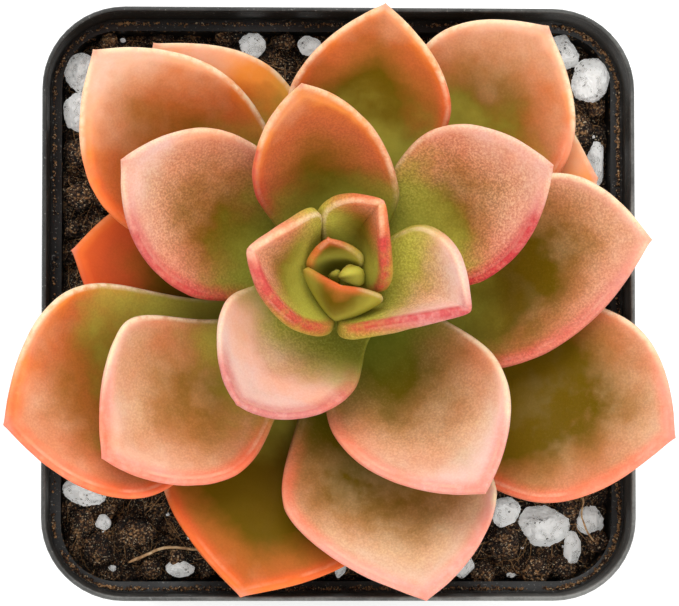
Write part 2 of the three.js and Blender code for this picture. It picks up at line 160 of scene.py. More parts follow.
# The smallest leaves of the heart, drawn as the first five are.
HEART = [
    dict(left=[(1.3, 1.7, 58), (0.3, 2.7, 60.4), (0.2, 2.8, 61.6), (-0.1, 2.4, 62), (-0.5, 1.8, 62)],
         rib=[(1.3, 1.8, 58), (1.5, 2.2, 60), (1.1, 2.3, 61.8), (0.2, 2.2, 62.4), (-0.5, 1.8, 62)],
         right=[(1.3, 1.5, 58), (1.5, 1.3, 60.4), (1.1, 1.1, 61.4), (0.3, 1.4, 61.9), (-0.5, 1.8, 62)],
         fold=1.3, thick=0.9, tone=(0.9, 0, 1), edging=(0, 0.1, 0.1)),
    dict(left=[(-0.8, 1.9, 58), (-1.2, 1.8, 60), (-1.3, 2.1, 61), (-1, 2.3, 61.4), (-0.5, 2.5, 61.4)],
         rib=[(-0.6, 1.8, 58), (-1, 1.9, 60), (-0.9, 2.1, 61.3), (-0.7, 2.3, 61.6), (-0.5, 2.5, 61.4)],
         right=[(-0.4, 1.6, 58), (-0.4, 1.7, 60), (-0.5, 1.8, 60.9), (-0.4, 2.1, 61.3), (-0.5, 2.5, 61.4)],
         fold=1.5, thick=0.8, tone=(0.9, 0, 1), edging=(0, 0.1, 0.1)),
]

# Perlite grains: place, half width and half depth, and turn in degrees.
GRAINS = [
    (-24.4, 22.2, 1.4, 1.65, 0), (-24.8, 18.7, 1.1, 1.9, 0), (-8.1, 24.7, 1.2, 1.2, 0),
    (-2.6, 24.9, 1, 0.95, 0), (21.6, 24.3, 1.5, 1.6, 0), (24.2, 21.7, 1.6, 1.9, -10),
    (25, 13.9, 0.8, 2, 0), (-24, -17.8, 1.8, 1.05, -15), (-22.2, -20.6, 0.65, 0.65, 0),
    (-14.9, -25, 1.2, 0.7, 0), (0.4, -24.7, 0.55, 1.15, 0), (12, -24.8, 1.05, 1, 0),
    (16.2, -19.7, 1.3, 1.3, 0), (19.8, -20.8, 2.1, 1.8, 0), (22.5, -23, 0.75, 1.4, 0),
    (24.4, -20.4, 1.3, 1.2, 0), (25.2, 0.8, 0.5, 0.95, 0),
]

# Clods of peat that show at the corners: place and radius. Small ones lie between them.
SMALL_CLODS = 130
CLODS = [
    (-24.2, -20.6, 1.15), (-22.6, -23.1, 1.45), (-17.6, -25, 1.0), (-19.2, -21.4, 1.7),
    (-15.2, -23.9, 0.95), (-12.4, -24.9, 0.85), (25, -22.4, 1.0), (14, -25.5, 1.25),
    (16, -22.7, 1.6), (19.1, -25.3, 1.3), (21.6, -25, 1.1), (22.2, -19.3, 1.1),
    (-10.6, 25.9, 0.85), (-9.4, 26, 0.75), (24.9, 19.2, 0.95), (-24.8, 14.6, 1.2),
    (-24.6, 10.4, 1.1), (-25.2, 7.4, 0.8), (-5, 25.3, 0.9), (23.3, 17, 1.3), (25.3, 10.2, 0.8),
    (8.5, -25.2, 1.0), (4.2, -25.1, 0.9), (-21.8, 25.2, 0.9), (15.4, 25.6, 0.9),
]

# The two roots that lie on the mix: points along each, and its radius.
ROOTS = [
    ([(-19.8, -24.4, 46.0), (-18.2, -23.7, 46.5), (-16.3, -23.0, 46.8), (-13.9, -23.1, 46.5),
      (-12.6, -23.3, 45.6)], 0.15),
    ([(23.3, -17.4, 45.6), (23.5, -18.5, 46.9), (23.25, -19.8, 47.4), (23.5, -20.7, 47.3),
      (24.1, -21.8, 46.6), (24.9, -22.7, 45.8)], 0.09),
]

# What the blush passes through as it grows, where it is clear and where it is veiled, partly by a
# wax and partly by painted sheen.
CLEAR_BLUSH = ("olive", "umber", "rust", "orange", "coral")
HAZY_AND_SHEEN_BLUSH = ("olive", "tan", "buff", "salmon", "pale")
BLUSH_STOPS = (0.15, 0.4, 0.6, 0.8, 1)
LEAF_COLOURS = {*CLEAR_BLUSH, *HAZY_AND_SHEEN_BLUSH, "crown", "moss", "rose", "red", "crimson", "cream", "bloom"}

# The photograph's frame: its width in pixels, and how many of them the pot's collar spans.
FRAME_PIXELS = 679
COLLAR_PIXELS = 595


# ---------------------------------------------------------------- sizes and colours to change

def linear(hex_colour):
    """An sRGB hex colour as linear red, green, blue and alpha."""
    channels = [int(hex_colour[i:i + 2], 16) / 255 for i in (1, 3, 5)]
    return (*[c / 12.92 if c <= 0.04045 else ((c + 0.055) / 1.055) ** 2.4 for c in channels], 1)


def colour_property(name, description, hex_colour):
    return bpy.props.FloatVectorProperty(
        name=name, description=description, subtype="COLOR", size=4, min=0, max=1,
        default=linear(hex_colour))


class SucculentPot(bpy.types.PropertyGroup):
    rim_width: bpy.props.FloatProperty(
        name="Rim width", description="Width across the collar", unit="LENGTH",
        default=POT_HIGH.x - POT_LOW.x)
    height: bpy.props.FloatProperty(
        name="Height", description="Height of the pot", unit="LENGTH", default=POT_HIGH.z)
    plastic: colour_property("Plastic", "The moulded plastic where it is clean", "#141515")
    # the dust colour also carries the painted light on the collar and the painted highlight on the lip
    dust_and_painted_light: colour_property("Dust", "Dry dust and scuffs on the plastic", "#7A7A76")


class SucculentMix(bpy.types.PropertyGroup):
    crumbs: bpy.props.IntProperty(
        name="Crumbs", description="How many loose crumbs lie on the mix", default=3000, min=0)
    dirt: bpy.props.IntProperty(
        name="Dirt", description="How many crumbs may lie on the pot's ledge", default=7000, min=0)
    fibres: bpy.props.IntProperty(
        name="Fibres", description="How many peat fibres lie on the mix", default=1300, min=0)
    dark: colour_property("Moist peat", "Peat in the gaps", "#070403")
    brown: colour_property("Peat", "Peat where it is drier", "#402A1B")
    light: colour_property("Dry peat", "Dry specks and fibres", "#B08558")
    speck: colour_property("Pale specks", "Specks of straw and sand", "#F0DAB4")
    perlite: colour_property("Perlite", "Clean perlite", "#FFFFFC")


class SucculentLeaves(bpy.types.PropertyGroup):
    crown: colour_property("Crown green", "The flesh near the stem", "#B0A843")
    # painted shade deep between the leaves, over the flesh's own dark green
    moss: colour_property("Moss", "The flesh deep between the leaves", "#435009")
    olive: colour_property("Olive", "Where the green starts to turn", "#634B05")
    umber: colour_property("Umber", "The start of a clear blush", "#9F5B22")
    rust: colour_property("Rust", "The middle of a clear blush", "#B75D2A")
    orange: colour_property("Orange", "Most of the way into a clear blush", "#CE6A25")
    coral: colour_property("Coral", "A full clear blush", "#F7983D")
    # the hazy blush is partly a wax haze and partly painted sheen
    tan: colour_property("Tan", "The start of a hazy blush", "#A57E4F")
    buff: colour_property("Buff", "The middle of a hazy blush", "#CCA47B")
    salmon: colour_property("Salmon", "Most of the way into a hazy blush", "#D5B296")
    pale: colour_property("Pale salmon", "A full hazy blush", "#E1C3B5")
    rose: colour_property("Rose", "The tint of the pink leaves", "#DC8778")
    red: colour_property("Red", "The margin and the point", "#EC5230")
    crimson: colour_property("Crimson", "The margin of the pink leaves", "#B81E30")
    # painted highlight along the lit margins; the same cream also colours the wax flecks
    cream: colour_property("Cream", "The pale line along the lit margins", "#E9CCA8")
    # partly a grey wax and partly a painted broad sheen
    bloom: colour_property("Bloom", "The thin wax that greys the middle of a leaf", "#AD9E79")
    relief: bpy.props.FloatProperty(
        name="Relief", description="Height of the leaves' soft unevenness", unit="LENGTH",
        default=0.11 * MM, min=0)


class SucculentStage(bpy.types.PropertyGroup):
    floor: colour_property("Floor", "The pale floor", "#FFFFFE")
    camera_distance: bpy.props.FloatProperty(
        name="Camera distance", description="From the middle of the rim", unit="LENGTH",
        default=420 * MM)
    key: bpy.props.FloatProperty(
        name="Key light", description="Power of the large soft light overhead", unit="POWER", default=3.65)
    sky: bpy.props.FloatProperty(
        name="Sky", description="Strength of the light from all round", default=0.7)


# ---------------------------------------------------------------- helpers

def deselect():
    """Leaves edit mode and selects nothing."""
    if bpy.context.object and bpy.context.object.mode != "OBJECT":
        bpy.ops.object.mode_set(mode="OBJECT")
    bpy.ops.object.select_all(action="DESELECT")


def named(name):
    """The object that was just added, with its name and its mesh's."""
    piece = bpy.context.object
    piece.name = piece.data.name = name
    return piece


def coordinates(piece):
    """A mesh's vertex places, one row each."""
    points = np.empty(len(piece.data.vertices) * 3)
    piece.data.vertices.foreach_get("co", points)
    return points.reshape(-1, 3)


def place_vertices(piece, points):
    piece.data.vertices.foreach_set("co", np.asarray(points, np.float32).ravel())
    piece.data.update()


def write_attributes(piece, **columns):
    """Gives each vertex a number or a vector under each name; one vector may stand for all."""
    for name, values in columns.items():
        values = np.asarray(values, np.float32)
        if len(values) != len(piece.data.vertices):
            values = np.tile(values, (len(piece.data.vertices), 1))
        kind, field = ("FLOAT", "value") if values.ndim == 1 else ("FLOAT_VECTOR", "vector")
        piece.data.attributes.new(name, kind, "POINT").data.foreach_set(field, values.ravel())


def pick(piece):
    """Makes a piece the only selected one, and active."""
    deselect()
    bpy.context.view_layer.objects.active = piece
    piece.select_set(True)


def face_outward(piece):
    pick(piece)
    bpy.ops.object.mode_set(mode="EDIT")
    bpy.ops.mesh.select_all(action="SELECT")
    bpy.ops.mesh.normals_make_consistent(inside=False)
    bpy.ops.object.mode_set(mode="OBJECT")


def smooth(piece, angle=180):
    pick(piece)
    if angle == 180:
        bpy.ops.object.shade_smooth()
    else:
        bpy.ops.object.shade_smooth_by_angle(angle=math.radians(angle))


def apply_modifier(piece, kind, **settings):
    pick(piece)
    modifier = piece.modifiers.new(kind.title(), kind)
    for key, value in settings.items():
        setattr(modifier, key, value)
    bpy.ops.object.modifier_apply(modifier=modifier.name)


def join(name, copies):
    """Joins the copies into one piece."""
    deselect()
    for copy in copies:
        copy.select_set(True)
    bpy.context.view_layer.objects.active = copies[0]
    bpy.ops.object.join()
    return named(name)


def copy_of(model, points):
    """A copy of a model with its own mesh and its own vertex places."""
    copy = model.copy()
    copy.data = model.data.copy()
    bpy.context.collection.objects.link(copy)
    copy.data.vertices.foreach_set("co", np.asarray(points, np.float32).ravel())
    return copy


def discard(*models):
    """Deletes models that have been copied, with their meshes."""
    for model in models:
        mesh = model.data
        bpy.data.objects.remove(model)
        bpy.data.meshes.remove(mesh)


def settle(piece, material, slot, *nodes):
    """Gives a finished piece its material and body, and hides the CAD nodes that it stands for. slot is not
    used.
    """
    piece.data.materials.clear()
    piece.data.materials.append(material)
    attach(piece, "root")
    if nodes:
        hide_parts(*nodes)


def lumps(points, size, seed, octaves=3):
    """Fractal noise at points in mm, about -1 to 1, with features of the given size in mm."""
    shift = Vector((seed * 7.31, seed * 3.17, seed * 5.73))
    return np.array([
        noise.fractal(Vector(p) / size + shift, 1.0, 2.1, octaves) for p in points])


# ---------------------------------------------------------------- materials

def plug(node, sockets):
    """Gives each of a node's sockets a value, or links it to the output that is given for it."""
    for key, value in sockets.items():
        if isinstance(value, bpy.types.NodeSocket):
            node.id_data.links.new(value, node.inputs[key])
        else:
            node.inputs[key].default_value = value


def add_node(tree, kind, sockets=(), out=0, stops=None, **settings):
    """Adds a node, fills its sockets by name or in order, and gives one output; stops fill a ramp."""
    made = tree.nodes.new("ShaderNode" + kind)
    for key, value in settings.items():
        setattr(made, key, value)
    if stops:
        elements = made.color_ramp.elements
        elements.remove(elements[1])
        elements[0].position, elements[0].color = stops[0]
        for position, colour in stops[1:]:
            elements.new(position).color = colour
    plug(made, sockets if isinstance(sockets, dict) else dict(enumerate(sockets)))
    return made.outputs[out]


def start_material(name, *patterns):
    """A new material, its shader, what adds its nodes, the object's own coordinates, and a noise for
    each pattern: its size in mm, its octaves and its roughness."""
    material = bpy.data.materials.new(name)
    material.use_nodes = True
    tree = material.node_tree
    tree.nodes.clear()
    shader = tree.nodes.new("ShaderNodeBsdfPrincipled")
    output = tree.nodes.new("ShaderNodeOutputMaterial")
    tree.links.new(shader.outputs[0], output.inputs[0])
    add = functools.partial(add_node, tree)
    place = add("TexCoord", out="Object")
    return material, shader, add, place, *[add("TexNoise", {
        "Vector": place, "Scale": per_mm(size), "Detail": octaves, "Roughness": roughness,
    }) for size, octaves, roughness in patterns]


def per_mm(size):
    """A texture's scale for features of that size in mm."""
    return 1 / (size * MM)


def cover(add, *factors, ease="LINEAR"):
    """How much of the surface a layer covers: the product of its factors. A factor is an output, or an
    output with the two values between which it rises, and what it rises from and to, if not 0 and 1."""
    share = None
    for factor in factors:
        if isinstance(factor, tuple):
            factor = add("MapRange", factor, interpolation_type=ease)
        share = factor if share is None else add("Math", (share, factor), operation="MULTIPLY")
    return share


def paint(add, colour, *layers, ease="LINEAR"):
    """Lays colours over a colour, each with the factors that cover takes."""
    for shade, *factors in layers:
        share = cover(add, *factors, ease=ease)
        colour = add("Mix", {0: share, 6: colour, 7: shade}, 2, data_type="RGBA")
    return colour


def leaf_skin(name, colours):
    """Waxy epidermis over translucent flesh: satin, finely speckled, reddest at its thin margins."""
    # broad mottling of 4 to 7 mm, and the epidermis's flecks and cells, drawn at 0.2 mm so that they show
    material, shader, add, place, mottle, drift, grain, speckle, cells = start_material(
        name, (4, 3, 0.55), (7, 3, 0.6), (0.9, 3, 0.6), (0.2, 2, 0.6), (0.22, 2, 0.5))
    plus, minus, times_plus = ({"operation": key} for key in ("ADD", "SUBTRACT", "MULTIPLY_ADD"))
    soft = functools.partial(cover, add, ease="SMOOTHSTEP")
    along, rim, lee = (add("Attribute", out="Fac", attribute_name=key) for key in ("along", "rim", "lee"))
    (reach, leaf_haze_and_sheen, foot), (pink, red, cream) = (
        add("SeparateXYZ", [add("Attribute", out="Vector", attribute_name=key)]).node.outputs
        for key in ("tone", "edging"))

    # turn: 0 where the leaf is darkest, 1 where the blush is full
    outward = add("Math", (pink, 0.3, along), **times_plus)
    turn = add("Math", (along, reach), **minus)
    for rise in (soft((rim, 0, 6.5, 0.52, 0.17)), soft((rim, 1.5, 0.2, 0, 0.25), (outward, 0.3, 0.6))):
        turn = add("Math", (turn, rise), **plus)
    for pattern, weight in ((mottle, 0.4), (grain, 0.1)):
        turn = add("Math", (add("Math", (pattern, 0.5), **minus), weight, turn), **times_plus)
    # painted sheen, over a real wax haze: the blush is made hazier and paler towards the point
    hazy_and_sheen = add("Math", (leaf_haze_and_sheen, soft((along, 0.55, 0.95, -0.25, 0.25))), **plus)
    hazy_and_sheen = add("Math", (add("Math", (drift, 0.5), **minus), 1.4, hazy_and_sheen), use_clamp=True, **times_plus)
    clear, veiled_and_sheen = (
        add("ValToRGB", [turn], stops=[(at, colours[key]) for at, key in zip(BLUSH_STOPS, keys)])
        for keys in (CLEAR_BLUSH, HAZY_AND_SHEEN_BLUSH))
    colour = add("Mix", {0: hazy_and_sheen, 6: clear, 7: veiled_and_sheen}, 2, data_type="RGBA")

    ripe = soft((turn, 0.15, 0.7))
    green = add("Math", (add("Math", (along, foot), **minus),
                         add("Math", (mottle, 0.3, -0.15), **times_plus)), **plus)
    # painted light on the margin: a pale painted highlight on the side towards the light; on the other side
    # painted shade deepens the margin's own red, with a painted highlight along its ridge
    ridge_highlight = soft((rim, 0.42, 0.58), (rim, 0.95, 0.65), (lee, 0.1, 0.7, 0, 0.5), (drift, 0.4, 0.6))
    painted_highlight = add("Math", (soft((rim, 0.62, 0.16), (lee, 0.3, -0.3, 0.12, 1.6)), ridge_highlight),
                operation="MAXIMUM")
    margin = add("Mix", {0: soft((pink, 0.2, 0.5)), 6: colours["red"], 7: colours["crimson"]}, 2,
                 data_type="RGBA")
    colour = paint(
        add, colour,
        # painted shade: away from the light the pink leaves are made pinker, over their own rose tint
        (colours["rose"], ripe, pink, (lee, -0.5, 0.9, 0.25, 0.65)),
        # bloom: a grey wax, partly a painted broad sheen, over the middle of the hazier leaves
        (colours["bloom"], (mottle, 0.45, 0.65, 0, 0.26), (rim, 1.5, 4), hazy_and_sheen, (along, 0.35, 0.6)),
        (colours["crown"], (green, 0.32, -0.05)),
        # moss: painted shade at the leaves' feet, deep between them, over their own darker green
        (colours["moss"], (along, 0.56, 0.12, 0, 0.85), (foot, 0.1, 0.5, 1, 0.35)),
        # only the reddest leaves flush red all over
        (colours["red"], ripe, (red, 0.9, 1, 0, 0.5)),
        # the margin's own red, made stronger away from the light: painted shade
        (margin, (rim, 1.9, 0.35), (outward, 0.36, 0.62), (lee, -0.35, 0.4, 0.1, 1),
         (grain, 0.25, 0.6, 0.6, 1), red),
        # painted highlight: the cream line along the margins and along their ridge
        (colours["cream"], painted_highlight, (along, 0.2, 0.5), (grain, 0.3, 0.6, 0.35, 1.1), cream),
        (colours["rose"], (along, 0.97, 0.992, 0, 0.5)),
        ease="SMOOTHSTEP")
    # the flecks show where the waxy haze, partly painted sheen, lies over them
    dappled = soft((turn, 0.1, 0.4, 0.4, 1), (turn, 1, 0.6, 0.35, 1), add("Math", (pink, 0.25), **plus))
    colour = add("Mix", {0: soft((hazy_and_sheen, 0, 0.8, 0.2, 0.27), dappled), 6: colour,
                         7: soft((speckle, 0.3, 0.7))}, 2, data_type="RGBA", blend_type="OVERLAY")
    colour = paint(add, colour, (colours["cream"], hazy_and_sheen, dappled, (speckle, 0.56, 0.68, 0, 0.1)),
                   ease="SMOOTHSTEP")

    skin = add("Bump", {"Strength": 0.35, "Distance": 0.03 * MM, "Height": cells})
    plug(shader, {
        "Base Color": colour, "Roughness": soft((grain, 0.3, 0.7, 0.36, 0.5)),
        "IOR": 1.42, "Specular IOR Level": 0.05, "Subsurface Weight": 0.16,
        "Subsurface Radius": (1, 0.38, 0.14), "Subsurface Scale": 1.1 * MM,
        "Normal": add("Bump", {"Strength": 0.5, "Distance": 0.12 * MM, "Height": mottle, "Normal": skin})})
    return material


def pot_plastic(colours):
    """Thin moulded polypropylene: charcoal and satin, with dust in its grain; grey at the lip with scuffs and
    a painted highlight, and with painted light and shade on its collar and wall.
    """
    material, shader, add, place, smear, grit, speck = start_material(
        "moulded_polypropylene", (5, 4, 0.6), (0.28, 2, 0.6), (0.24, 1, 0.5))
    height = add("SeparateXYZ", [place], "Z")
    # painted light: the dust and the lip's grey are made stronger towards the right and the front, so those
    # walls look lit
    painted_light_lean = add("VectorMath", (place, (0.75, -0.66, 0)), 1, operation="DOT_PRODUCT")
    painted_light_lean = cover(add, (painted_light_lean, -18 * MM, 22 * MM, 0.3, 1.5))
    film = cover(add, (smear, 0.35, 0.7, 0.4, 1.4))
    # painted highlight, over real scuffs: the top of the lip is made grey
    lip_wear_and_sheen = cover(add, (height, 51.2 * MM, 51.95 * MM, 0, 0.75), grit, film, painted_light_lean)
    # dust and wear lie on the collar; the wall below it is left dark, painted shade deep in the pot
    film = cover(add, film, (height, 46.8 * MM, 48.2 * MM, 0.02, 0.22), painted_light_lean)
    dots = cover(add, (speck, 0.66, 0.72, 0, 0.8), (height, 44 * MM, 48 * MM, 0.12, 1))
    dust_wear_and_painted_light = add("Math", (lip_wear_and_sheen, film), operation="ADD")
    dust_wear_and_painted_light = add("Math", (dust_wear_and_painted_light, dots), operation="MAXIMUM")
    plug(shader, {
        "Base Color": paint(add, colours["plastic"], (colours["dust_and_painted_light"], dust_wear_and_painted_light)),
        "Roughness": cover(add, (smear, 0.3, 0.7, 0.36, 0.56)), "IOR": 1.49, "Specular IOR Level": 0.3,
        "Normal": add("Bump", {"Strength": 0.4, "Distance": 0.03 * MM, "Height": grit})})
    return material


def peat(name, colours, lift):
    """Moist sphagnum peat: crumbly, nearly black in its gaps, with dry brown specks. lift lightens it: the
    mix under the clods gets less lift than the clods and crumbs, painted shade in the gaps between them.
    """
    material, shader, add, place, patch, granule, speck = start_material(
        name, (1.7, 4, 0.65), (0.3, 3, 0.7), (0.18, 1, 0.5))
    crumbs = add("TexVoronoi", {"Vector": place, "Scale": per_mm(0.3), "Randomness": 1})
    value = add("Math", (patch, granule), operation="ADD")
    value = add("Math", (crumbs, -0.5, value), operation="MULTIPLY_ADD")
    ramp = add("ValToRGB", [cover(add, (value, 0.62 - lift, 1.12 - lift))], stops=[
        (0, colours["dark"]), (0.5, colours["brown"]), (1, colours["light"])])
    grains = add("Bump", {"Strength": 1, "Distance": 0.2 * MM, "Height": crumbs}, invert=True)
    plug(shader, {
        "Base Color": paint(add, ramp, (colours["speck"], (speck, 0.635, 0.68, 0, 0.6))),
        "Roughness": 0.7, "IOR": 1.4,
        "Normal": add("Bump", {"Strength": 1, "Distance": 0.2 * MM, "Height": granule, "Normal": grains})})
    return material


def perlite_glass(colours):
    """Expanded volcanic glass: chalk white and matt, with small dark pits that hold peat dust."""
    material, shader, add, place, grime, fine, patch, warp = start_material(
        "expanded_perlite", (1.3, 4, 0.65), (0.24, 4, 0.7), (0.8, 2, 0.5), (0.9, 3, 0.5))
    pits = add("TexVoronoi", {"Vector": place, "Scale": per_mm(0.42), "Randomness": 1})
    bent = add("Mix", {0: 0.35, 4: place, 5: warp.node.outputs["Color"]}, 1, data_type="VECTOR")
    seams = add("TexVoronoi", {"Vector": bent, "Scale": per_mm(1.3), "Randomness": 1},
                feature="DISTANCE_TO_EDGE")
    hole = cover(add, (pits, 0.36, 0.22, 0, 0.9), (grime, 0.5, 0.6))
    crack = cover(add, (seams, 0.07, 0.035, 0, 0.9), (patch, 0.52, 0.57))
    colour = paint(add, colours["perlite"],
                   (linear("#B4AFA4"), (grime, 0.45, 0.75, 0, 0.3)),
                   (colours["dark"], add("Math", (hole, crack), operation="MAXIMUM")))
    relief = add("Bump", {"Strength": 0.8, "Distance": 0.1 * MM, "Height": seams})
    plug(shader, {
        "Base Color": colour, "Roughness": 0.9, "IOR": 1.5,
        # painted light: a faint glow keeps the grains bright where the leaves and the wall shade them
        "Emission Color": colour, "Emission Strength": 0.22,
        "Normal": add("Bump", {"Strength": 1, "Distance": 0.16 * MM, "Height": fine, "Normal": relief})})
    return material


def root_bark():
    """A dried feeder root: tan bark with darker lengths, matt."""
    material, shader, add, place, bark = start_material("dry_root", (0.6, 3, 0.6))
    plug(shader, {
        "Base Color": add("ValToRGB", [bark], stops=[
            (0.3, linear("#8A6444")), (0.5, linear("#C49A6C")), (0.75, linear("#F0D4A8"))]),
        "Roughness": 0.75,
        "Normal": add("Bump", {"Strength": 0.5, "Distance": 0.05 * MM, "Height": bark})})
    return material


def floor_paper(colour):
    """Matt white paper with a barely seen mottle."""
    material, shader, add, place, fibre = start_material("matt_paper", (9, 3, 0.5))
    plug(shader, {
        "Base Color": add("ValToRGB", [fibre], stops=[
            (0.3, (*[0.98 * c for c in colour[:3]], 1)), (0.7, tuple(colour))]),
        "Roughness": 0.9,
        # light that comes through the sheet from below keeps its dim side white
        "Emission Color": colour, "Emission Strength": 0.15})
    return material


def palette(group, names):
    """The colours of those names in a property group, as plain values."""
    return {name: tuple(getattr(group, name)) for name in names}


# ---------------------------------------------------------------- shapes

def pot_outline(z):
    """The pot's outer half width and corner radius at height z, without the collar."""
    share = z / POT_HEIGHT
    half = (BASE_WIDTH + (RIM_WIDTH - 2 * COLLAR_STEP - BASE_WIDTH) * share) / 2
    return half, BASE_CORNER + (BODY_CORNER - BASE_CORNER) * share


def rounded_square(half, corner, z, corner_steps=12, side_steps=10):
    """Points round a square with round corners, anticlockwise, in mm."""
    inner = half - corner
    points = []
    for side in range(4):
        start = side * math.pi / 2
        cx = inner * (math.cos(start) - math.sin(start))
        cy = inner * (math.sin(start) + math.cos(start))
        for i in range(corner_steps + 1):
            angle = start + i / corner_steps * math.pi / 2
            points.append((cx + corner * math.cos(angle), cy + corner * math.sin(angle), z))
        x, y, _ = points[-1]
        for i in range(1, side_steps):
            run = 2 * inner * i / side_steps
            points.append((x - run * math.cos(start), y - run * math.sin(start), z))
    return np.array(points)


def soil_height(x, y):
    """The mix's broad unevenness, as in the CAD: it dips round the stem."""
    swell = 0.5 * np.sin(0.42 * x + 0.3) * np.cos(0.37 * y + 1.1)
    clods = 0.3 * np.sin(0.9 * x + 0.6 * y) + 0.3 * np.sin(1.1 * y - 0.5 * x + 2)
    return SOIL_TOP + SOIL_RELIEF * (swell + clods) - SOIL_DISH * np.exp(-(x * x + y * y) / 150)


def sphere_places(piece):
    """Where each vertex of a unit sphere lies: its share of the way up, and its angle round."""
    x, y, z = coordinates(piece).T
    return 1 - np.arccos(np.clip(z, -1, 1)) / math.pi, np.arctan2(y, x)


def add_sphere(name, segments, rings):
    deselect()
    bpy.ops.mesh.primitive_uv_sphere_add(segments=segments, ring_count=rings, radius=1)
    return named(name)


def unit(vectors):
    return vectors / np.maximum(np.linalg.norm(vectors, axis=-1, keepdims=True), 1e-12)


def midrib(leaf):
    """The four control points of a leaf's midrib, and its level headings at the base and the tip."""
    tip = np.array(leaf["tip"], float)
    plan = tip[:2] - AXIS
    heading = math.atan2(plan[1], plan[0])
    sway = math.radians(leaf.get("sway", 0))
    start, middle, end = (
        np.array([math.cos(a), math.sin(a), 0]) for a in (heading + sway, heading, heading - sway))
    base = np.array([*AXIS, leaf["base"]]) + start * BASE_RADIUS
    chord = tip - base
    reach = np.linalg.norm(chord)
    rise, bend = math.atan2(chord[2], chord @ middle), math.radians(leaf["bend"])
    leaving = start * math.cos(rise - bend) + UP * math.sin(rise - bend)
    arriving = end * math.cos(rise + bend) + UP * math.sin(rise + bend)
    return (base, base + HANDLE * reach * leaving, tip - HANDLE * reach * arriving, tip), start, end


def blade_width(leaf, t, right):
    """Half width at station t as a share of the widest."""
    wide = np.where(right, leaf["wide"][1], leaf["wide"][0])
    flare = leaf.get("flare", 0.02)
    s = np.clip((t - flare) / (wide - flare), 0, 1)
    inner = leaf["neck"] + (1 - leaf["neck"]) * s * s * (3 - 2 * s)
    x = np.clip((t - wide) / (1 - wide), 0, 1)
    # the last tenth of the blade draws in to a point
    point = 1 - 0.3 * np.exp((x - 1) / 0.1) - 0.4 * np.exp((x - 1) / 0.03)
    outer = (1 - x ** leaf.get("blunt", BLUNT)) * point
    return np.where(t < wide, inner, outer)


def spline(path, t):
    """Points at t, 0 to 1, along a smooth curve through a path's evenly spaced points."""
    path = np.array(path, float)
    place = t * (len(path) - 1)
    i = np.minimum(place.astype(int), len(path) - 2)
    f = (place - i)[:, None]
    before, a = path[np.maximum(i - 1, 0)], path[i]
    b, after = path[i + 1], path[np.minimum(i + 2, len(path) - 1)]
    return 0.5 * (2 * a + (b - before) * f + (2 * before - 5 * a + 4 * b - after) * f ** 2
                  + (3 * a - before - 3 * b + after) * f ** 3)


def drawn_blade(leaf, t, q):
    """The middle surface of a leaf that is drawn by its margins and its midrib."""
    left, rib, right = (spline(leaf[key], t) for key in ("left", "rib", "right"))
    return rib + (left - right) / 2 * q[:, None] + (
        (left + right) / 2 - rib) * np.abs(q[:, None]) ** leaf["fold"]


def curled_blade(leaf, t, q):
    """The middle surface of a leaf that curls up on both sides of its midrib, and which way is up."""
    (p0, p1, p2, p3), start, end = midrib(leaf)
    tt, q = t[:, None], q[:, None]
    rib = (1 - tt) ** 3 * p0 + 3 * (1 - tt) ** 2 * tt * p1 + 3 * (1 - tt) * tt ** 2 * p2 + tt ** 3 * p3
    tangent = unit(3 * (1 - tt) ** 2 * (p1 - p0) + 6 * (1 - tt) * tt * (p2 - p1) + 3 * tt ** 2 * (p3 - p2))
    outward = unit(start + (end - start) * tt)
    left = unit(np.cross(UP, outward))
    normal = unit(np.cross(tangent, left))
    left = np.cross(normal, tangent)
    right = q < 0
    half = np.where(right, leaf["half"][1], leaf["half"][0])
    radius = half / np.radians(np.where(right, leaf["cup"][1], leaf["cup"][0]))
    angle = np.abs(q) * half * blade_width(leaf, tt, right) / radius
    sign = np.where(right, -1, 1)
    points = rib + left * sign * radius * np.sin(angle) + normal * radius * (1 - np.cos(angle))
    return points, normal * np.cos(angle) - left * sign * np.sin(angle)


def leaf_points(leaf, t, q, side):
    """Points in mm at stations t and places q across, on the upper (side 1) or lower (-1) face, with
    the direction that faces up from the blade there."""
    if "rib" in leaf:
        points = drawn_blade(leaf, t, q)
        s, step = np.clip(t, 0.01, 0.97), 0.01
        run = drawn_blade(leaf, s + step, q) - drawn_blade(leaf, s - step, q)
        up = unit(np.cross(run, drawn_blade(leaf, s, q + step) - drawn_blade(leaf, s, q - step)))
    else:
        points, up = curled_blade(leaf, t, q)
    tt, q, side = t[:, None], q[:, None], side[:, None]
    edge = np.maximum(0, 1 - q * q) ** (0.2 if "rib" in leaf else 0.3)
    body = (0.7 + 0.3 * np.sin(math.pi * tt)) * (1 - 0.3 * tt) * np.sqrt(np.maximum(0, 1 - tt ** 12))
    foot = np.sqrt(np.clip(1 - (1 - tt / 0.04) ** 2, 0, 1)) * (tt < 0.04) + (tt >= 0.04)
    thick = leaf["thick"] * body * edge * foot
    keel = 0.45 * np.exp(-(q / 0.22) ** 2) * np.clip((tt - 0.3) / 0.5, 0, 1) * (1 - tt ** 6) * (side < 0)
    return points + up * side * (thick * np.where(side > 0, 0.4, 0.6) + keel), up


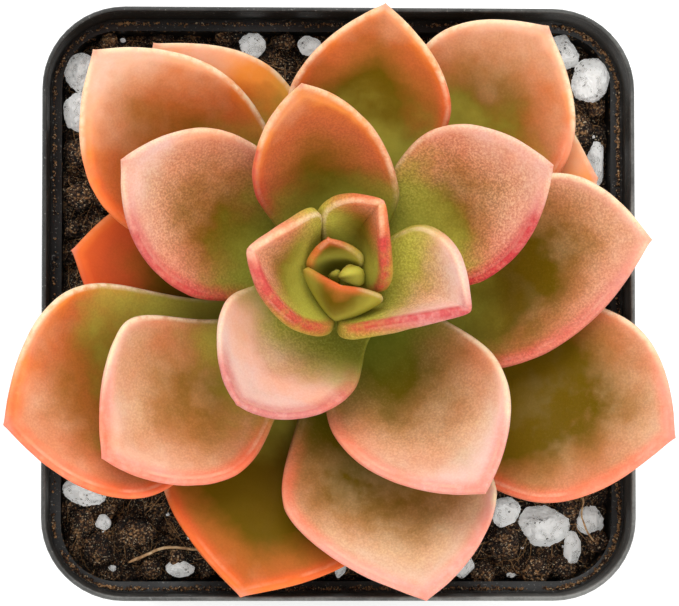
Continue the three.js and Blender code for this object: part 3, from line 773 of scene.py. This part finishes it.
def leaf_mesh(name, leaf, relief, segments=80, rings=84):
    """A leaf, as a ball pressed flat along its midrib. Its attributes say where each point lies."""
    piece = add_sphere(name, segments, rings)
    share, turn = sphere_places(piece)
    t = 1 - (1 - share) ** 1.3
    q, side = np.cos(turn), np.where(np.sin(turn) >= 0, 1.0, -1.0)
    side[np.abs(np.sin(turn)) < 1e-6] = 0
    points, up = leaf_points(leaf, t, q, side)
    seed = points[0, 0] + 40
    soft = relief / MM * (lumps(points, 5.0, seed, 2) + 0.35 * lumps(points, 1.7, seed + 9, 2))
    points = points + up * side[:, None] * soft[:, None] * np.clip(leaf["thick"] / 1.6, 0.4, 1)
    place_vertices(piece, points * MM)
    face_outward(piece)

    stations = np.linspace(0, 1, 240)
    # the heart's leaves are thick: their blush is measured from the ridge above the margin
    drawn = "rib" in leaf
    hand, face = (0.985, 1.0) if drawn else (1.0, 0.0)
    margin = np.vstack([
        leaf_points(leaf, stations, *[np.full(len(stations), value) for value in (h, face)])[0]
        for h in (-hand, hand)])
    rim = np.sqrt(((points[:, None, :] - margin[None, :, :]) ** 2).sum(-1)).min(1)
    # lee: which way the blade's nearer margin faces, 1 away from the light and -1 towards it
    tip = leaf["rib"][-1] if drawn else leaf["tip"]
    heading = math.atan2(tip[1] - AXIS[1], tip[0] - AXIS[0])
    across = q * np.minimum(1, (1 - t) * 4)
    lee = (across * (-math.sin(heading) * LEE[0] + math.cos(heading) * LEE[1])
           + np.sqrt(1 - across ** 2) * t * (math.cos(heading) * LEE[0] + math.sin(heading) * LEE[1]))
    write_attributes(piece, along=t, rim=np.where(side > 0, 1.9, 1.2) * rim if drawn else rim, lee=lee,
                     edging=leaf["edging"], tone=leaf["tone"])
    smooth(piece)
    return piece


def lump_model(name, subdivisions):
    """A ball of even triangles, to be roughened into clods, crumbs or grains."""
    deselect()
    bpy.ops.mesh.primitive_ico_sphere_add(subdivisions=subdivisions, radius=1)
    return named(name)


def strand_model(name, sides, lengths):
    """A straight strand of unit radius and length, to be laid along a path."""
    deselect()
    bpy.ops.mesh.primitive_cylinder_add(vertices=sides, radius=1, depth=1, end_fill_type="TRIFAN")
    piece = named(name)
    bpy.ops.object.mode_set(mode="EDIT")
    for cut in range(1, lengths):
        bpy.ops.mesh.select_all(action="SELECT")
        bpy.ops.mesh.bisect(plane_co=(0, 0, cut / lengths - 0.5), plane_no=(0, 0, 1))
    bpy.ops.object.mode_set(mode="OBJECT")
    return piece


def along_path(points, radius, path):
    """Bends a straight strand's points along a path in mm; its ends taper."""
    place = np.clip(points[:, 2] + 0.5, 0, 1)
    centre = spline(path, place)
    forward = unit(spline(path, np.minimum(place + 0.01, 1)) - spline(path, np.maximum(place - 0.01, 0)))
    aside = unit(np.cross(forward, UP + 1e-3))
    above = np.cross(aside, forward)
    taper = 0.35 + 0.65 * np.sqrt(np.clip(1 - (2 * points[:, 2:3]) ** 6, 0, 1))
    return centre + radius * taper * (points[:, :1] * aside + points[:, 1:2] * above)


class Ground:
    """Finds the height of the mix's finished top."""

    def __init__(self):
        self.tree = BVHTree.FromObject(
            bpy.data.objects["potting_mix"], bpy.context.evaluated_depsgraph_get())

    def height(self, x, y):
        hit = self.tree.ray_cast(Vector((x * MM, y * MM, 60 * MM)), Vector((0, 0, -1)))[0]
        return hit.z / MM if hit else SOIL_TOP


# ---------------------------------------------------------------- operators

class SUCCULENT_OT_pot(bpy.types.Operator):
    """Square nursery pot with a stepped collar, a thin rolled lip and four drain holes"""
    bl_idname = "succulent.pot"
    bl_label = "Nursery pot"

    def rings(self):
        """The wall's section from under the base, up the outside, over the lip and down the inside."""
        def body(z, offset):
            return (*[measure + offset for measure in pot_outline(z)], z)

        def collar(z, inset):
            return RIM_WIDTH / 2 - inset, RIM_CORNER - inset, z

        return [
            body(0, -1.0), body(0.06, -0.62), body(0.3, -0.25), body(0.7, -0.05), body(1.2, 0),
            body(12, 0), body(24, 0), body(36, 0), body(45.4, 0), body(46.1, 0.02), body(46.45, 0.12),
            collar(46.75, 0.62), collar(46.95, 0.42), collar(47.25, 0.3), collar(48.5, 0.22),
            collar(50.4, 0.1), collar(50.55, 0.04), collar(51.2, 0), collar(51.6, 0.01),
            collar(51.82, 0.07), collar(51.95, 0.18), collar(52, 0.29), collar(51.96, 0.4),
            collar(51.8, 0.47), collar(51.5, 0.5), collar(50.9, 0.51), collar(50.75, 0.57),
            collar(49.9, 0.58), collar(49.75, 0.64), collar(48.6, 0.65), collar(47.6, 0.68),
            collar(47.3, 0.74), collar(47.12, 0.95), body(46.95, -0.72), body(46.8, -0.52),
            body(46.4, -0.5), body(36, -0.5), body(24, -0.55), body(12, -0.6), body(2.2, -0.65),
            body(1.5, -0.95), body(FLOOR, -1.5),
        ]

    def execute(self, context):
        settings = context.scene.succulent_pot
        stretch = Matrix.Diagonal((settings.rim_width / RIM_WIDTH, settings.rim_width / RIM_WIDTH,
                                   settings.height / POT_HEIGHT, 1))
        rings = [rounded_square(*ring) for ring in self.rings()]
        deselect()
        bpy.ops.mesh.primitive_circle_add(vertices=len(rings[0]), radius=1)
        piece = named("nursery_pot")
        bpy.ops.object.mode_set(mode="EDIT")
        mesh = bmesh.from_edit_mesh(piece.data)
        order = mesh.verts.layers.int.new("order")
        for i, vertex in enumerate(mesh.verts):
            vertex[order] = i
            vertex.co = rings[0][i]
        bpy.ops.mesh.select_all(action="SELECT")
        for ring in rings[1:]:
            bpy.ops.mesh.extrude_edges_move()
            mesh = bmesh.from_edit_mesh(piece.data)
            order = mesh.verts.layers.int["order"]
            for vertex in mesh.verts:
                if vertex.select:
                    vertex.co = ring[vertex[order]]
            bmesh.update_edit_mesh(piece.data)
        bpy.ops.mesh.edge_face_add()
        bpy.ops.mesh.select_all(action="DESELECT")
        mesh = bmesh.from_edit_mesh(piece.data)
        for edge in mesh.edges:
            if edge.is_boundary:
                edge.select_set(True)
        bmesh.update_edit_mesh(piece.data)
        bpy.ops.mesh.edge_face_add()
        bpy.ops.object.mode_set(mode="OBJECT")
        piece.data.transform(stretch)
        face_outward(piece)

        cutters = []
        for x, y in ((1, 1), (-1, 1), (-1, -1), (1, -1)):
            deselect()
            bpy.ops.mesh.primitive_cylinder_add(
                vertices=40, radius=DRAIN_RADIUS * MM, depth=8 * MM,
                location=(x * DRAIN_OFFSET * MM, y * DRAIN_OFFSET * MM, 0))
            bpy.ops.object.transform_apply(location=True)
            cutters.append(context.object)
        cutter = join("drain_cutter", cutters)
        apply_modifier(piece, "BOOLEAN", object=cutter, operation="DIFFERENCE", solver="EXACT")
        discard(cutter)
        smooth(piece, 32)
        settle(piece, pot_plastic(palette(settings, ("plastic", "dust_and_painted_light"))), "pot_plastic", "pot")
        return {"FINISHED"}


class SUCCULENT_OT_mix(bpy.types.Operator):
    """Potting mix: peat in clods of a few millimetres, with gaps between them"""
    bl_idname = "succulent.mix"
    bl_label = "Potting mix"

    def execute(self, context):
        deselect()
        bpy.ops.mesh.primitive_grid_add(x_subdivisions=MIX_CELLS, y_subdivisions=MIX_CELLS, size=2)
        piece = named("potting_mix")
        flat = coordinates(piece)
        half, corner = (measure - WALL_GAP for measure in pot_outline(SOIL_TOP))
        u, v = flat[:, 0], flat[:, 1]
        reach = np.maximum(np.abs(u), np.abs(v))
        slope = np.minimum(np.abs(u), np.abs(v)) / np.maximum(reach, 1e-9)
        inner = half - corner
        # where a ray of that slope leaves the round corner, as a share of the square's own edge
        qa, qb, qc = 1 + slope ** 2, -2 * inner * (1 + slope), 2 * inner ** 2 - corner ** 2
        arc = (-qb + np.sqrt(np.maximum(0, qb ** 2 - 4 * qa * qc))) / (2 * qa)
        edge = np.where(slope * half > inner, arc, half)
        x, y = u * edge, v * edge
        points = np.stack([x, y, np.zeros_like(x)], 1)
        # clods 3.1 mm apart, and crumbs 1.15 mm apart with cracks between them
        clods, small = (
            np.array([noise.voronoi(Vector((px / pitch, py / pitch, level)))[0] for px, py in points[:, :2]])
            for pitch, level in ((3.1, 0.4), (1.15, 3.3)))
        domes = np.sqrt(np.clip(1 - (clods[:, 0] / 0.72) ** 2, 0, 1))
        crumbs = np.clip((small[:, 1] - small[:, 0]) / 0.4, 0, 1)
        z = soil_height(x, y) - 0.75
        z += 1.5 * domes - 0.95 + 0.32 * np.sqrt(crumbs)
        z += 0.4 * lumps(points, 1.6, 3, 3) + 0.32 * lumps(points, 0.42, 5, 3)
        z -= 0.9 * np.clip((reach - 0.955) / 0.045, 0, 1) ** 2
        points[:, 2] = z
        place_vertices(piece, points * MM)

        bpy.ops.object.mode_set(mode="EDIT")
        bpy.ops.mesh.select_all(action="DESELECT")
        mesh = bmesh.from_edit_mesh(piece.data)
        for edge in mesh.edges:
            edge.select_set(edge.is_boundary)
        bmesh.update_edit_mesh(piece.data)
        # the mix's sides follow the pot's wall down to its floor
        for level, gap in ((40, WALL_GAP), (2.6, 0.8)):
            bpy.ops.mesh.extrude_edges_move()
            mesh = bmesh.from_edit_mesh(piece.data)
            above, half = half, pot_outline(level)[0] - gap
            for vertex in mesh.verts:
                if vertex.select:
                    vertex.co = (vertex.co.x * half / above, vertex.co.y * half / above, level * MM)
            bmesh.update_edit_mesh(piece.data)
        bpy.ops.mesh.edge_face_add()
        bpy.ops.object.mode_set(mode="OBJECT")
        face_outward(piece)
        smooth(piece, 60)
        colours = palette(context.scene.succulent_mix, ("dark", "brown", "light", "speck"))
        # painted shade: the mix gets the least lift, so it is darker than the clods and crumbs that lie on it
        settle(piece, peat("sphagnum_peat", colours, 0.02), "potting_mix", "soil")
        return {"FINISHED"}


class SUCCULENT_OT_debris(bpy.types.Operator):
    """Clods, crumbs and fibres of peat that lie on the mix, and the dirt on the pot's ledge"""
    bl_idname = "succulent.debris"
    bl_label = "Clods, crumbs and fibres"

    def spot(self, draw):
        """A random place on the mix, more often near the corners, where it shows."""
        half = pot_outline(SOIL_TOP)[0] - 1.4
        while True:
            x, y = draw.uniform(-half, half), draw.uniform(-half, half)
            if math.hypot(max(abs(x) - half + 5, 0), max(abs(y) - half + 5, 0)) > 5:
                continue
            if max(abs(x), abs(y)) > draw.uniform(6, 25):
                return x, y

    def execute(self, context):
        settings = context.scene.succulent_mix
        draw = random.Random(11)
        ground = Ground()
        colours = palette(settings, ("dark", "brown", "light", "speck"))

        model = lump_model("clod", 4)
        sphere = coordinates(model)
        clods = []
        for i, (x, y, radius) in enumerate(CLODS):
            rough = 1 + 0.24 * lumps(sphere, 0.9, i, 3) + 0.15 * lumps(sphere, 0.2, i + 30, 3)
            size = np.array([draw.uniform(0.85, 1.15), draw.uniform(0.85, 1.15), draw.uniform(0.7, 0.9)])
            z = soil_height(x, y) + 0.4 * radius - 0.1
            clods.append(copy_of(model, (sphere * rough[:, None] * size * radius + (x, y, z)) * MM))
        discard(model)
        model = lump_model("clod", 3)
        sphere = coordinates(model)
        for i in range(SMALL_CLODS):
            x, y = self.spot(draw)
            radius = draw.uniform(0.3, 0.75)
            rough = 1 + 0.4 * lumps(sphere, 0.6, i + 60, 3)
            size = np.array([draw.uniform(0.8, 1.25), draw.uniform(0.8, 1.25), draw.uniform(0.65, 0.95)])
            z = ground.height(x, y) + 0.2 * radius
            clods.append(copy_of(model, (sphere * rough[:, None] * size * radius + (x, y, z)) * MM))
        discard(model)
        piece = join("peat_clods", clods)
        face_outward(piece)
        smooth(piece, 50)
        settle(piece, peat("peat_clod", colours, 0.08), "potting_mix")

        model = lump_model("crumb", 1)
        sphere = coordinates(model)
        crumbs = []
        for i in range(settings.crumbs):
            x, y = self.spot(draw)
            radius = 0.05 + 0.2 * draw.random() ** 3
            self.crumb(crumbs, model, sphere, draw, x, y, ground.height(x, y) + 0.3 * radius, radius)
        # dirt on the ledge under the collar, thickest on the right
        ledge = rounded_square(*LEDGE, corner_steps=60, side_steps=160)
        for i in range(settings.dirt):
            x, y, z = ledge[draw.randrange(len(ledge))]
            angle = math.atan2(y, x)
            share = 1.2 if x > 15 else 1 if y < -20 else 0.3
            patch = noise.noise(Vector((x * 0.5, y * 0.5, 2))) + 0.6
            if draw.random() > share * patch * 1.6:
                continue
            radius = 0.04 + 0.14 * draw.random() ** 2
            inward = abs(draw.gauss(0.05, 0.15))
            x, y = x - inward * math.cos(angle), y - inward * math.sin(angle)
            self.crumb(crumbs, model, sphere, draw, x, y, z - 0.2 * inward + 0.5 * radius, radius)
        # and what sticks to the wall above the mix
        wall = rounded_square(pot_outline(46)[0] - 0.56, 5.7, 0, corner_steps=60, side_steps=160)
        for i in range(settings.dirt // 7):
            x, y, _ = wall[draw.randrange(len(wall))]
            radius = 0.04 + 0.1 * draw.random() ** 3
            self.crumb(crumbs, model, sphere, draw, x, y, 44.8 + 2 * draw.random() ** 2, radius)
        discard(model)
        piece = join("peat_crumbs", crumbs)
        face_outward(piece)
        settle(piece, peat("peat_crumb", colours, 0.16), "potting_mix")

        model = strand_model("fibre", 5, 8)
        straight = coordinates(model)
        fibres = []
        for i in range(settings.fibres):
            x, y = self.spot(draw)
            heading, radius = draw.uniform(0, 2 * math.pi), draw.uniform(0.022, 0.048)
            path = []
            for k in range(5):
                z = ground.height(x, y) + radius + 0.22 * math.sin(k / 4 * math.pi) * draw.random()
                path.append((x, y, z))
                heading += draw.uniform(-0.5, 0.5)
                length = draw.uniform(0.35, 1.0)
                x, y = x + length * math.cos(heading), y + length * math.sin(heading)
                limit = pot_outline(SOIL_TOP)[0] - 1.2
                x, y = max(-limit, min(limit, x)), max(-limit, min(limit, y))
            fibres.append(copy_of(model, along_path(straight, radius, path) * MM))
        discard(model)
        piece = join("peat_fibres", fibres)
        face_outward(piece)
        smooth(piece)
        settle(piece, peat("peat_fibre", colours, 0.5), "potting_mix")
        return {"FINISHED"}

    def crumb(self, crumbs, model, sphere, draw, x, y, z, radius):
        """Adds a crumb, turned and misshapen at random."""
        size = radius * np.array([draw.uniform(0.7, 1.3) for _ in range(3)])
        turn = (Matrix.Rotation(draw.uniform(0, math.pi), 3, "X")
                @ Matrix.Rotation(draw.uniform(0, 6), 3, "Z"))
        wobble = np.array([draw.uniform(0.75, 1.2) for _ in range(len(sphere))])[:, None]
        crumbs.append(copy_of(model, ((sphere * wobble * size) @ np.array(turn) + (x, y, z)) * MM))


class SUCCULENT_OT_perlite(bpy.types.Operator):
    """Grains of perlite, sunk a little way into the mix"""
    bl_idname = "succulent.perlite"
    bl_label = "Perlite"

    def execute(self, context):
        material = perlite_glass(palette(context.scene.succulent_mix, ("perlite", "dark")))
        model = lump_model("grain", 5)
        sphere = coordinates(model)
        cut = random.Random(23)
        for i, (x, y, rx, ry, turn) in enumerate(GRAINS):
            p = sphere
            facets = unit(np.array([[cut.gauss(0, 1) for _ in range(3)] for _ in range(9)]))
            reach = np.array([cut.uniform(0.78, 1.12) for _ in facets])
            hull = (np.maximum(0, p @ facets.T / reach) ** 22).sum(1) ** (-1 / 22)
            rough = 0.08 * lumps(p, 0.4, i, 3) + 0.05 * lumps(p, 0.13, i + 20, 3)
            pits = np.array([noise.voronoi(Vector(v) * 3.6 + Vector((i, 0, 0)))[0][0] for v in p])
            dent = 0.14 * np.clip(1 - pits / 0.3, 0, 1)
            rz = 0.42 * (rx + ry)
            points = p * (np.clip(hull, 0.75, 1.16) + rough - dent)[:, None] * (rx, ry, rz)
            a = math.radians(turn)
            spun = points @ np.array(Matrix.Rotation(-a, 3, "Z"))
            # the grains at the back of the pot lie higher, clear of its wall
            z = soil_height(x, y) + (0.75 if y > 18 else 0.3) * rz
            grain = copy_of(model, (spun + (x, y, z)) * MM)
            grain.name = grain.data.name = f"perlite_grain_{i + 1:02d}"
            smooth(grain, 60)
            settle(grain, material, "perlite", f"perlite_{i + 1:02d}")
        discard(model)

        draw = random.Random(5)
        ground = Ground()
        model = lump_model("chip", 3)
        sphere = coordinates(model)
        chips = []
        # four that show in the photograph, and others near the mix's edges
        spots = [(16.84, -25.6, 0.34), (-21.3, -25, 0.3), (-20.4, 25.6, 0.22), (24.6, 16.4, 0.2)]
        spots += [(draw.uniform(-24, 24), draw.choice((-1, 1)) * draw.uniform(18, 24.5),
                   draw.uniform(0.05, 0.13)) for _ in range(40)]
        spots += [(draw.choice((-1, 1)) * draw.uniform(19, 24.5), draw.uniform(-22, 22),
                   draw.uniform(0.05, 0.12)) for _ in range(34)]
        for i, (x, y, radius) in enumerate(spots):
            facets = unit(np.array([[draw.gauss(0, 1) for _ in range(3)] for _ in range(7)]))
            hull = (np.maximum(0, sphere @ facets.T) ** 16).sum(1) ** (-1 / 16)
            rough = np.clip(hull, 0.6, 1.4) * (1 + 0.15 * lumps(sphere, 0.5, i, 2))
            z = ground.height(x, y) + 0.4 * radius
            chip = sphere * rough[:, None] * radius * (1, 0.8, 0.7) + (x, y, z)
            chips.append(copy_of(model, chip * MM))
        discard(model)
        piece = join("perlite_chips", chips)
        face_outward(piece)
        settle(piece, material, "perlite")
        return {"FINISHED"}


class SUCCULENT_OT_roots(bpy.types.Operator):
    """Two dry roots that lie across the mix"""
    bl_idname = "succulent.roots"
    bl_label = "Roots"

    def execute(self, context):
        model = strand_model("root", 10, 48)
        straight = coordinates(model)
        roots = []
        for i, (path, radius) in enumerate(ROOTS):
            points = along_path(straight, radius, path)
            points += 0.05 * np.stack([lumps(points, 0.8, i + k, 2) for k in (1, 5, 9)], 1)
            roots.append(copy_of(model, points * MM))
        discard(model)
        piece = join("dry_roots", roots)
        face_outward(piece)
        smooth(piece)
        settle(piece, root_bark(), "potting_mix")
        return {"FINISHED"}


class SUCCULENT_OT_stem(bpy.types.Operator):
    """The short stem and the smallest leaves of the heart"""
    bl_idname = "succulent.stem"
    bl_label = "Stem and heart"

    def execute(self, context):
        settings = context.scene.succulent_leaves
        colours = palette(settings, LEAF_COLOURS)
        piece = add_sphere("stem", 48, 60)
        share, turn = sphere_places(piece)
        heights = [30, 30.6, 41.2, 47.2, 52, 56.5, 58]
        radii = [0, 1.6, 2.6, 3, 2.8, 1.5, 0]
        z = 30 + 28 * share
        radius = np.interp(z, heights, radii)
        scars = 0.1 * np.sin(z * 3.6 + 1.5 * np.sin(turn * 3))
        radius = np.maximum(0, radius + np.where((share > 0.02) & (share < 0.98), scars, 0))
        points = np.stack([AXIS[0] + radius * np.cos(turn), AXIS[1] + radius * np.sin(turn), z], 1)
        place_vertices(piece, points * MM)
        # the stem is a leaf's foot all over: green, and far from any margin
        write_attributes(piece, along=np.zeros(len(z)), rim=np.full(len(z), 9.0), lee=np.zeros(len(z)),
                         edging=(0, 0, 0), tone=(0.6, 0.2, 0.6))
        smooth(piece)
        buds = [leaf_mesh(f"bud_{i}", leaf, settings.relief * 0.3, segments=40, rings=48)
                for i, leaf in enumerate(HEART)]
        piece = join("stem_and_heart", [piece, *buds])
        face_outward(piece)
        settle(piece, leaf_skin("heart_epidermis", colours), "heart_green", "stem")
        return {"FINISHED"}


class SUCCULENT_OT_leaves(bpy.types.Operator):
    """The rosette's leaves: thick, cupped, green at the foot and blushed towards the margin"""
    bl_idname = "succulent.leaves"
    bl_label = "Leaves"

    def execute(self, context):
        settings = context.scene.succulent_leaves
        colours = palette(settings, LEAF_COLOURS)
        material = leaf_skin("leaf_epidermis", colours)
        for i, leaf in enumerate(LEAVES):
            piece = leaf_mesh(f"rosette_leaf_{i + 1:02d}", leaf, settings.relief)
            slot = "leaf_inner" if i < INNER_LEAVES else "leaf_outer"
            settle(piece, material, slot, f"leaf_{i + 1:02d}")
        return {"FINISHED"}


class SUCCULENT_OT_stage(bpy.types.Operator):
    """Plain pale floor, soft light and the camera that looks down on the pot"""
    bl_idname = "succulent.stage"
    bl_label = "Stage"

    def execute(self, context):
        settings = context.scene.succulent_stage
        deselect()
        bpy.ops.mesh.primitive_circle_add(vertices=96, radius=3, fill_type="NGON")
        floor = named("floor")
        floor.data.materials.append(floor_paper(settings.floor))

        world = bpy.data.worlds.new("soft_white_room")
        context.scene.world = world
        world.use_nodes = True
        background = world.node_tree.nodes["Background"]
        background.inputs["Color"].default_value = (1, 1, 1, 1)
        background.inputs["Strength"].default_value = settings.sky

        lamps = (("key", (-0.10, 0.42, 0.60), 0.5, settings.key),
                 ("fill", (0.22, -0.30, 0.55), 0.6, settings.key * 0.6))
        for name, place, size, power in lamps:
            data = bpy.data.lights.new(name, "AREA")
            data.shape, data.size, data.energy = "SQUARE", size, power
            lamp = bpy.data.objects.new(name, data)
            lamp.location = place
            towards = Vector((0, 0, 0.05)) - Vector(place)
            lamp.rotation_euler = towards.to_track_quat("-Z", "Y").to_euler()
            context.collection.objects.link(lamp)

        aim = Vector((0, 0, POT_HIGH.z))
        back = Vector((math.tan(math.radians(-2.7)), math.tan(math.radians(-3.0)), 1)).normalized()
        right = Vector((0, 1, 0)).cross(back).normalized()
        up = back.cross(right)
        data = bpy.data.cameras.new("camera")
        data.sensor_width = 36
        frame_width = FRAME_PIXELS / COLLAR_PIXELS * RIM_WIDTH * MM
        data.lens = data.sensor_width * settings.camera_distance / frame_width
        data.clip_start, data.clip_end = 0.01, 20
        camera = bpy.data.objects.new("camera", data)
        turn = Matrix((right, up, back)).transposed().to_4x4()
        camera.matrix_world = Matrix.Translation(aim + back * settings.camera_distance) @ turn
        context.collection.objects.link(camera)
        context.scene.camera = camera
        context.scene.view_settings.view_transform = "Standard"
        return {"FINISHED"}


class SUCCULENT_PT_panel(bpy.types.Panel):
    """Lists the pieces and their settings"""
    bl_label = "Potted succulent"
    bl_idname = "SUCCULENT_PT_panel"
    bl_space_type = "VIEW_3D"
    bl_region_type = "UI"
    bl_category = "Succulent"

    def draw(self, context):
        for group in ("succulent_pot", "succulent_mix", "succulent_leaves", "succulent_stage"):
            box = self.layout.box()
            settings = getattr(context.scene, group)
            for key in settings.bl_rna.properties.keys():
                if key not in ("rna_type", "name"):
                    box.prop(settings, key)
        for operator in PIECES:
            self.layout.operator(operator.bl_idname)


GROUPS = {"succulent_pot": SucculentPot, "succulent_mix": SucculentMix,
          "succulent_leaves": SucculentLeaves, "succulent_stage": SucculentStage}
PIECES = (SUCCULENT_OT_pot, SUCCULENT_OT_mix, SUCCULENT_OT_debris, SUCCULENT_OT_perlite,
          SUCCULENT_OT_roots, SUCCULENT_OT_stem, SUCCULENT_OT_leaves, SUCCULENT_OT_stage)


def register():
    for kind in (*GROUPS.values(), *PIECES, SUCCULENT_PT_panel):
        bpy.utils.register_class(kind)
    for name, kind in GROUPS.items():
        setattr(bpy.types.Scene, name, bpy.props.PointerProperty(type=kind))


def unregister():
    for name in GROUPS:
        delattr(bpy.types.Scene, name)
    for kind in reversed((*GROUPS.values(), *PIECES, SUCCULENT_PT_panel)):
        bpy.utils.unregister_class(kind)


def main():
    register()
    deselect()
    bpy.ops.succulent.pot()
    bpy.ops.succulent.mix()
    bpy.ops.succulent.debris()
    bpy.ops.succulent.perlite()
    bpy.ops.succulent.roots()
    bpy.ops.succulent.stem()
    bpy.ops.succulent.leaves()
    bpy.ops.succulent.stage()


if __name__ == "__main__":
    main()
